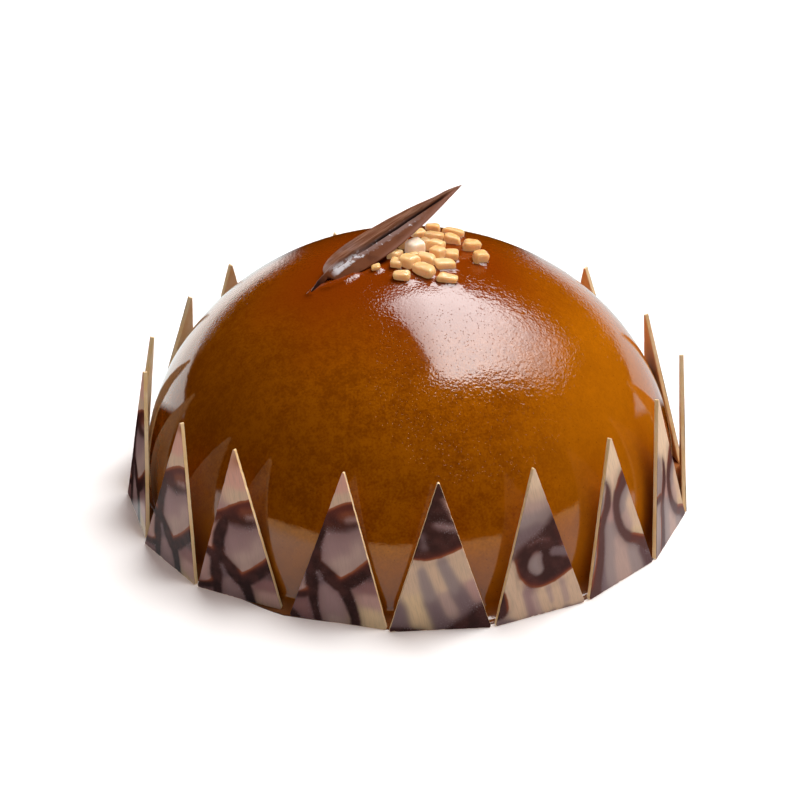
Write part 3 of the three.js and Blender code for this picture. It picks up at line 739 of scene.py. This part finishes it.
def smooth_path(path, steps=5):
    """A path's corners rounded off, in short pieces: the cubic curve through its points that runs
    at each of them along half the step between its neighbours."""
    path = np.array(path, float)
    ends = np.concatenate([path[:1], path, path[-1:]])
    p, q, r, s = ends[:-3, None], ends[1:-2, None], ends[2:-1, None], ends[3:, None]
    t = np.linspace(0, 1, steps, endpoint=False)[None, :, None]
    curve = 0.5 * (2 * q + (r - p) * t + (2 * p - 5 * q + 4 * r - s) * t**2 + (3 * q - p - 3 * r + s) * t**3)
    return np.concatenate([curve.reshape(-1, path.shape[1]), path[-1:]])


def above_curve(x, y, curve):
    """How far a point lies above a curve: the height over it, divided by the root of 1 + slope²."""
    across, up = smooth_path(curve).T
    slope = np.interp(x, across, np.gradient(up, across))
    return (y - np.interp(x, across, up)) / np.sqrt(1 + slope**2)


def reaches_squared(x, y, line):
    """The squared distance to a straight line, counted in its reach."""
    ax, ay, bx, by, reach = line
    return (path_inside(x, y, [(ax, ay, 0.0), (bx, by, 0.0)]) / reach) ** 2


def print_marks(x, y, motif):
    """The print at places on the sheet: how deep in the dark a place lies, in millimetres; the
    tint of the white chocolate there, the mean of the washes by their weights (1 + r²)^power,
    turning plum towards the dark; and how crisp and orange the dark's border is, the largest
    of exp(-r²), where r is the distance in reaches."""
    dark = np.full(x.shape, -DARK_LIMIT)
    for stroke in motif["strokes"]:
        dark = np.maximum(dark, path_inside(x, y, smooth_path(stroke)))
    for upper, upper_sharp, lower, lower_sharp in motif["bands"]:
        band = np.minimum(-upper_sharp * above_curve(x, y, upper), lower_sharp * above_curve(x, y, lower))
        dark = np.maximum(dark, band)
    for hole, sharp in motif["holes"]:
        dark = np.minimum(dark, -sharp * path_inside(x, y, smooth_path(hole)))
    rim = np.zeros(x.shape)
    for *line, strength in motif["rims"]:
        rim = np.maximum(rim, strength * np.exp(-reaches_squared(x, y, line)))
    weight, tint = np.full(x.shape, BARE_WEIGHT), np.array(TINTS["ivory"]) * BARE_WEIGHT
    for *line, name in motif["washes"]:
        share = (1 + reaches_squared(x, y, line)) ** WASH_POWER
        weight = weight + share
        tint = tint + share[..., None] * np.array(TINTS[name])
    tint = tint / weight[..., None]
    halo = HALO_SHARE * (1 - rim) * np.exp(np.minimum(dark, 0) / HALO_REACH)
    tint = tint + halo[..., None] * (np.array(TINTS["plum"]) - tint)
    return np.clip(dark, -DARK_LIMIT, DARK_LIMIT), tint, rim


def plate_rings(tip, width, number):
    """The triangle from foot to tip, in its own plane: x across, y up, the printed face at z = 0.
    A ring is the outline of a bar with round edges: the core's corner times what is left of half
    the width and half the thickness, plus the edge's radius along the outward direction. Half
    the width runs straight to the rounded tip, and the sides, the foot and the faces waver."""
    wide, plain = np.linspace(-1, 1, PRINT_STEPS), np.linspace(-1, 1, REAR_STEPS)
    thin = np.linspace(1, -1, SIDE_STEPS)[1:-1]
    flat = EDGE_TURNS * 0
    face = np.stack([wide, wide * 0 + 1, wide * 0, wide * 0 + 1])
    edge = np.concatenate([
        [flat + 1, flat + 1, np.sin(EDGE_TURNS), np.cos(EDGE_TURNS)],
        [thin * 0 + 1, thin, thin * 0 + 1, thin * 0],
        [flat + 1, flat - 1, np.cos(EDGE_TURNS), -np.sin(EDGE_TURNS)],
    ], axis=1)
    rear = np.stack([-plain, plain * 0 - 1, plain * 0, plain * 0 - 1])
    core_x, core_z, out_x, out_z = np.concatenate([face, edge, rear, edge * [[-1], [-1], [-1], [-1]]], axis=1)

    height, arc_from = PLATE_ROWS, PLATE_HEIGHT - PLATE_TIP_RADIUS
    arc = np.sqrt(np.clip(PLATE_TIP_RADIUS**2 - (height - arc_from) ** 2, 1e-4, None))
    share = np.minimum(height / arc_from, 1)
    chord = np.where(height > arc_from, arc, PLATE_TIP_RADIUS)
    left = (1 - share) * -width / 2 + share * (tip - chord)
    right = (1 - share) * width / 2 + share * (tip + chord)
    middle, half = (left + right) / 2, (right - left) / 2
    half = half - FOOT_CUT * np.clip(1 - height / FOOT_CUT_HEIGHT, 0, 1) ** 2
    worn = PLATE_EDGE - np.sqrt(PLATE_EDGE**2 - np.clip(PLATE_EDGE - height, 0, None) ** 2)
    radius = np.minimum(PLATE_EDGE, PLATE_EDGE_SHARE * half)
    half, thick = (part - radius - worn * WORN_SHARE for part in (half, PLATE_THICKNESS / 2))
    x = middle[:, None] + core_x * half[:, None] + out_x * radius[:, None]
    z = -PLATE_THICKNESS / 2 + core_z * thick[:, None] + out_z * radius[:, None]
    y = np.broadcast_to(height[:, None], x.shape)
    place = np.stack([x, y, z], axis=-1)
    spot = place + [50.0 * number, 0.0, 0.0]  # so that no two are alike
    low = np.clip(1 - y / NICK_REACH, 0, 1) ** 2
    nick = np.clip(mottle(spot * [1, 0, 1], NICK_LENGTH, 11), 0, 1) ** 2
    waver = np.clip(mottle(spot * [0, 1, 0], SIDE_WAVER_LENGTH, 12), 0, 1)
    place[..., 1] += NICK_DEPTH * low * nick
    place[..., 0] -= np.sign(core_x) * np.abs(core_x) ** SIDE_POWER * SIDE_WAVER * waver
    place[..., 2] += core_z * FACE_WARP * (mottle(spot, FACE_WARP_LENGTH, 13) - FACE_WARP_INWARD)
    return place


def stand_up(place, at, lean, turn, out):
    """Leans a triangle back on its inner lower edge, turns it where it stands and carries it out
    and round to its place on the ring: three turns by x cos - y sin, x sin + y cos."""
    lean, turn, at = np.radians([lean, turn, at])
    x, y, z = np.moveaxis(place, -1, 0)
    rise = y * np.cos(lean) + (z + PLATE_THICKNESS) * np.sin(lean)
    deep = y * np.sin(lean) - z * np.cos(lean)
    x, deep = x * np.cos(turn) - deep * np.sin(turn), x * np.sin(turn) + deep * np.cos(turn)
    deep = deep - PLATE_DISTANCE - out
    return np.stack([x * np.cos(at) - deep * np.sin(at), x * np.sin(at) + deep * np.cos(at), rise], axis=-1)


def marbled_chocolate():
    """White chocolate with a cocoa print on its outer face. The dark's border is crisp and orange
    where the print ran thin and otherwise soft and frosted; a fine brushed grain runs through
    the pale parts; the cut edges and the rear face are ivory, painted brighter and more golden
    for the warm light that the glaze throws on them."""
    dark_brown, deep_brown = (0.068, 0.022, 0.019, 1), (0.032, 0.010, 0.009, 1)
    orange, rust, frost = (0.36, 0.10, 0.042, 1), (0.15, 0.032, 0.020, 1), (0.42, 0.33, 0.34, 1)
    shade, thin_brown = (0.26, 0.18, 0.175, 1), (0.135, 0.056, 0.048, 1)
    ivory, golden_glow_ivory = (0.95, 0.71, 0.43, 1), (0.90, 0.60, 0.28, 1)
    finish = Finish("marbled_chocolate")
    step, mix, noise = finish.step, finish.mix, finish.noise
    tint, sheet = finish.mark("tint", "Color"), finish.mark("sheet", "Vector")
    dark, rim, ink = finish.mark("dark"), finish.mark("rim"), finish.mark("ink")
    depth = finish.axis(sheet, 2)
    brushed = {"Vector": sheet, "Rotation": (0, 0, 0.21), "Scale": (1, 14, 1)}
    brushed = finish.add("ShaderNodeMapping", brushed, vector_type="TEXTURE")
    streak = finish.add("ShaderNodeTexNoise", {"Vector": brushed, "Scale": 2.6, "Detail": 2.0})
    dark = dark + (noise(3.0, 2.0) - 0.5) * 0.7
    pale = mix(0.20 * step(streak, 0.42, 0.72), tint, shade)
    brown = mix(step(noise(4.0, 3.0), 0.35, 0.7), deep_brown, dark_brown)
    brown = mix(ink, thin_brown, brown)
    fleck = step(noise(0.45, 1.0), 0.56, 0.72) * step(noise(6.0, 2.0), 0.42, 0.62)
    brown = mix(0.05 * fleck, brown, frost)
    brown = mix(rim * step(dark, 3.0, 0.5), brown, rust)
    brown = mix(rim * step(dark, 1.2, 0.0), brown, orange)
    edge = 0.62 - 0.44 * rim
    printed = step(dark, edge * -1, edge)
    colour = mix(printed, pale, brown)
    fringe = step(dark, -2.2, -0.3) * step(dark, 0.9, 0.0) * (1 - rim)
    colour = mix(0.40 * fringe * fleck, colour, frost)
    # painted light: the cut edges and the rear face in a bright golden ivory, for the warm light the glaze
    # throws on them
    plain = mix(step(noise(7.0, 3.0), 0.35, 0.7), ivory, golden_glow_ivory)
    colour = mix(step(depth, 0.10, 0.20), colour, plain)
    gloss = noise(5.0, 2.0) * 0.12 + 0.26
    grain = finish.bump(noise(0.7, 3.0) + noise(5.0, 1.0) * 2.0, 0.035)
    return finish.close(Base_Color=colour, Roughness=gloss, IOR=1.46, Specular_IOR_Level=0.06, Normal=grain)


chocolate = marbled_chocolate()
for number, (at, plate) in enumerate(zip(PLATES_AT, PLATES), 1):
    lean, turn, tip, out, width, motif, shift_x, shift_y = plate
    corners, faces = closed_shell(plate_rings(tip, width, number))
    dark, tint, rim = print_marks(corners[:, 0] - shift_x, corners[:, 1] - shift_y, motif)
    marks = {
        "tint": tint, "dark": dark, "rim": rim, "ink": np.full(len(corners), motif["ink"]),
        "sheet": corners * [1, 1, -1 / PLATE_THICKNESS],
    }
    corners = stand_up(corners, at, lean, turn, out)
    triangle = make_piece(f"triangle_{number:02d}", corners, faces, chocolate, **marks)
    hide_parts(f"plate_{number:02d}")

# The leaf. Milk chocolate brushed on the back of a mould with a raised midrib, peeled off and
# stuck stem first into the glaze, its tip in the air over the nibs.

LEAF_POINTS = np.array([(-30.6, -13.9, 76.4), (-26.2, -8.7, 80.3), (-4.9, 4.3, 90.2), (16.5, 18.0, 99.4)])
LEAF_HALF_WIDTH = 6.2
LEAF_WIDEST_AT = 0.28
LEAF_FULLNESS = 0.4
LEAF_FALL = (np.radians(25), np.radians(-12))  # of the front wing and of the rear one
LEAF_THICKNESS = 1.3
LEAF_EDGE_SHARE = 0.6
STEM_HALF_WIDTH = 0.85
STEM_SHARE = 0.13
RIB_HEIGHT = 1.0
RIB_HALF_WIDTH = 0.8
RIB_ASIDE = 0.7  # the crest lies this far towards the rear wing
RIB_RUN_OUT, RIB_ONSET = 4, 8  # rib and groove fade over a 4th at the tip and an 8th at the stem
GROOVE_DEPTH = 0.75
GROOVE_AT, GROOVE_HALF_WIDTH = -0.35, 0.42
STEM_RUN_OUT = 3
LEAF_TIP_HALF_WIDTH = 0.15
LEAF_EDGE_POWER = 0.4  # how full the section's ends are
COMB_DEPTH, COMB_WIDTH, COMB_STRETCH, COMB_FROM = 0.07, 0.6, 0.06, 0.3  # on the rear wing
LEAF_LUMP, LEAF_LUMP_LENGTH = 0.10, 4.0
LEAF_ENDS, LEAF_END_STEEPNESS = (-0.01, 1.004), 40  # where its thickness runs out, as shares
LEAF_ROWS = np.concatenate([[0, 0.002], np.linspace(0.006, 0.995, 166), [0.998, 1.0]])[:, None]
LEAF_AROUND = 150


def rib_line(share):
    """Place and direction on the midrib at shares of its length: the cubic curve through the
    leaf's four points, its ends drawn on by their last pieces, that takes the root of the
    distance from each point to the next as its time and changes direction nowhere at once."""
    before_first = 2 * LEAF_POINTS[:1] - LEAF_POINTS[1:2]
    after_last = 2 * LEAF_POINTS[-1:] - LEAF_POINTS[-2:-1]
    points = np.concatenate([before_first, LEAF_POINTS, after_last])
    spans = []
    for p, q, r, s in zip(points[:-3], points[1:-2], points[2:-1], points[3:]):
        before, here, after = (np.sqrt(np.linalg.norm(b - a)) for a, b in ((p, q), (q, r), (r, s)))
        leave = ((q - p) / before - (r - p) / (before + here) + (r - q) / here) * here
        arrive = ((r - q) / here - (s - q) / (here + after) + (s - r) / after) * here
        t = np.linspace(0, 1, 400)[:, None]
        squared, cubed = 3 * (r - q) - 2 * leave - arrive, 2 * (q - r) + leave + arrive
        spans.append(q + leave * t + squared * t**2 + cubed * t**3)
    line = np.concatenate([spans[0], spans[1][1:], spans[2][1:]])
    walked = np.concatenate([[0], np.cumsum(np.linalg.norm(np.diff(line, axis=0), axis=1))])
    heading = np.gradient(line, walked, axis=0)
    at = np.asarray(share) * walked[-1]
    place = np.stack([np.interp(at, walked, line[:, axis]) for axis in range(3)], axis=-1)
    along = np.stack([np.interp(at, walked, heading[:, axis]) for axis in range(3)], axis=-1)
    return place, along / np.linalg.norm(along, axis=-1, keepdims=True), walked[-1]


def leaf_half_width(share):
    """A narrow stem, then a blade: (b / w)^f · ((1 - b) / (1 - w))^(f (1 - w) / w) times the
    greatest half width, where b is the share of the blade, w its widest place, f its fullness."""
    blade = np.clip((share - STEM_SHARE) / (1 - STEM_SHARE), 0, 1)
    power = LEAF_FULLNESS * (1 - LEAF_WIDEST_AT) / LEAF_WIDEST_AT
    rise = (blade / LEAF_WIDEST_AT) ** LEAF_FULLNESS * ((1 - blade) / (1 - LEAF_WIDEST_AT)) ** power
    stem = STEM_HALF_WIDTH * np.minimum(1, (1 - blade) * STEM_RUN_OUT)
    return np.maximum(np.maximum(LEAF_HALF_WIDTH * rise, stem), LEAF_TIP_HALF_WIDTH)


def leaf_rings():
    """The leaf from stem to tip. A ring goes round the section: across = -cos t from wing to
    wing, level = sign(sin t) |sin t|^p from face to face. A place is the rib's, plus its reach
    along the fallen wing, plus what the midrib stands up, with a groove before it, plus level
    times half the thickness, which thins towards the margin and runs out at both ends. The
    rear wing's combing and soft lumps come on top."""
    share = LEAF_ROWS
    turn = np.linspace(0, 2 * np.pi, LEAF_AROUND, endpoint=False)[None]
    across = -np.cos(turn) + 0 * share
    level = np.sign(np.sin(turn)) * np.abs(np.sin(turn)) ** LEAF_EDGE_POWER
    place, along, length = rib_line(share[:, 0])
    far = np.cross([0.0, 0.0, 1.0], along)
    far /= np.linalg.norm(far, axis=-1, keepdims=True)
    top = np.cross(along, far)
    reach = across * leaf_half_width(share)
    fall = np.where(across < 0, *LEAF_FALL)
    body = np.minimum(1, (1 - share) * RIB_RUN_OUT)
    blade = np.clip((share - STEM_SHARE) * RIB_ONSET, 0, 1)
    ridge = RIB_HEIGHT * body * np.exp(-(((reach - RIB_ASIDE * blade) / RIB_HALF_WIDTH) ** 2))
    upper = np.clip(level, 0, 1)
    groove = GROOVE_DEPTH * np.exp(-(((reach - GROOVE_AT) / GROOVE_HALF_WIDTH) ** 4))
    groove = groove * body * blade * upper
    along_it = share * length + 0 * reach
    margin = leaf_half_width(share) - np.abs(reach)
    flow = np.stack([reach, along_it, margin], axis=-1)
    comb_place = np.stack([reach, COMB_STRETCH * along_it, 0 * reach], axis=-1)
    comb = COMB_DEPTH * upper * mottle(comb_place, COMB_WIDTH, 21) * (reach > COMB_FROM)
    lump = LEAF_LUMP * mottle(flow * [1, 1, 0], LEAF_LUMP_LENGTH, 22)
    thin = 1 - (1 - LEAF_EDGE_SHARE) * np.maximum(np.abs(across), share**4)
    from_stem = np.clip((share - LEAF_ENDS[0]) * LEAF_END_STEEPNESS, 0, 1)
    from_tip = np.clip((LEAF_ENDS[1] - share) * LEAF_END_STEEPNESS, 0, 1)
    half = LEAF_THICKNESS * thin / 2 * from_stem * from_tip
    lift = ridge - groove + comb + lump - np.abs(reach) * np.sin(fall) + level * half
    rings = place[:, None] + far[:, None] * (reach * np.cos(fall))[..., None] + top[:, None] * lift[..., None]
    return rings, flow


def milk_chocolate():
    """Moulded milk chocolate. The front wing is glossy, with a painted pale highlight along the rib,
    broken into white specks, and a painted rosy reflection of the table along its margin; the
    rear wing is combed along the rib and has a painted pale reflection near the stem; the
    groove at the rib's foot is painted dark as shade, and the stem is dark."""
    milk, combed = (0.175, 0.054, 0.021, 1), (0.165, 0.058, 0.028, 1)
    crest, rosy_reflection, dark = (0.30, 0.145, 0.088, 1), (0.27, 0.115, 0.075, 1), (0.035, 0.012, 0.008, 1)
    pale_reflection, sugar = (0.40, 0.30, 0.285, 1), (0.72, 0.68, 0.70, 1)
    groove_shade_brown = (0.012, 0.005, 0.004, 1)
    finish = Finish("milk_chocolate")
    step, mix, noise = finish.step, finish.mix, finish.noise
    flow = finish.mark("flow", "Vector")
    reach, along, margin = (finish.axis(flow, which) for which in range(3))
    long_grain = finish.add("ShaderNodeMapping", {"Vector": flow, "Scale": (1, 0.07, 0)})
    streak = finish.add("ShaderNodeTexNoise", {"Vector": long_grain, "Scale": 1.9, "Detail": 3.0})
    patch = noise(3.0, 3.0)
    rear = step(reach, -0.2, 0.2)
    front = mix(step(patch, 0.40, 0.75) * 0.35, milk, dark)
    # painted reflection: rosy along the front wing's margin, where it mirrors the table
    front = mix(step(margin, 1.7, 0.0) * step(along, 20.0, 34.0), front, rosy_reflection)
    crumb = noise(1.1, 4.0)
    # painted highlight: pale along the rib on the front wing, broken by white specks
    band = step(along, 9.0, 12.0) * step(along, 50.0, 36.0)
    band = step(reach + (crumb - 0.5) * 1.6, -2.6, -1.8) * band
    front = mix(band * 0.38, front, pale_reflection)
    frosted = step(crumb + 0.25 * step(along, 24.0, 13.0), 0.60, 0.72)
    front = mix(band * frosted * 0.9, front, sugar)
    back = mix(step(streak, 0.40, 0.70), combed, crest)
    # painted reflection: pale on the rear wing near the stem
    back = mix(step(noise(7.0), 0.6, 0.4) * step(along, 26.0, 12.0) * 0.5, back, pale_reflection)
    colour = mix(rear, front, back)
    # painted shade: dark in the groove at the rib's foot
    groove_shade = step(reach, 0.10, -0.12) * step(reach, -0.82, -0.62)
    groove_shade = groove_shade * step(along, 18.0, 30.0) * step(along, 58.0, 52.0)
    colour = mix(groove_shade * 0.92, colour, groove_shade_brown)
    colour = mix(step(along, 7.5, 4.0), colour, dark)
    grain = finish.bump(streak * rear + noise(0.6, 3.0) * 0.7, 0.06)
    return finish.close(Base_Color=colour, Roughness=0.32, IOR=1.46, Specular_IOR_Level=0.16, Normal=grain)


leaf_shape, leaf_flow = leaf_rings()
leaf_corners, leaf_faces = closed_shell(leaf_shape)
leaf_marks = np.concatenate([leaf_flow.reshape(-1, 3), leaf_flow[[0, -1]].mean(axis=1)])
leaf = make_piece("chocolate_leaf", leaf_corners, leaf_faces, milk_chocolate(), flow=leaf_marks)
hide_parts("leaf")
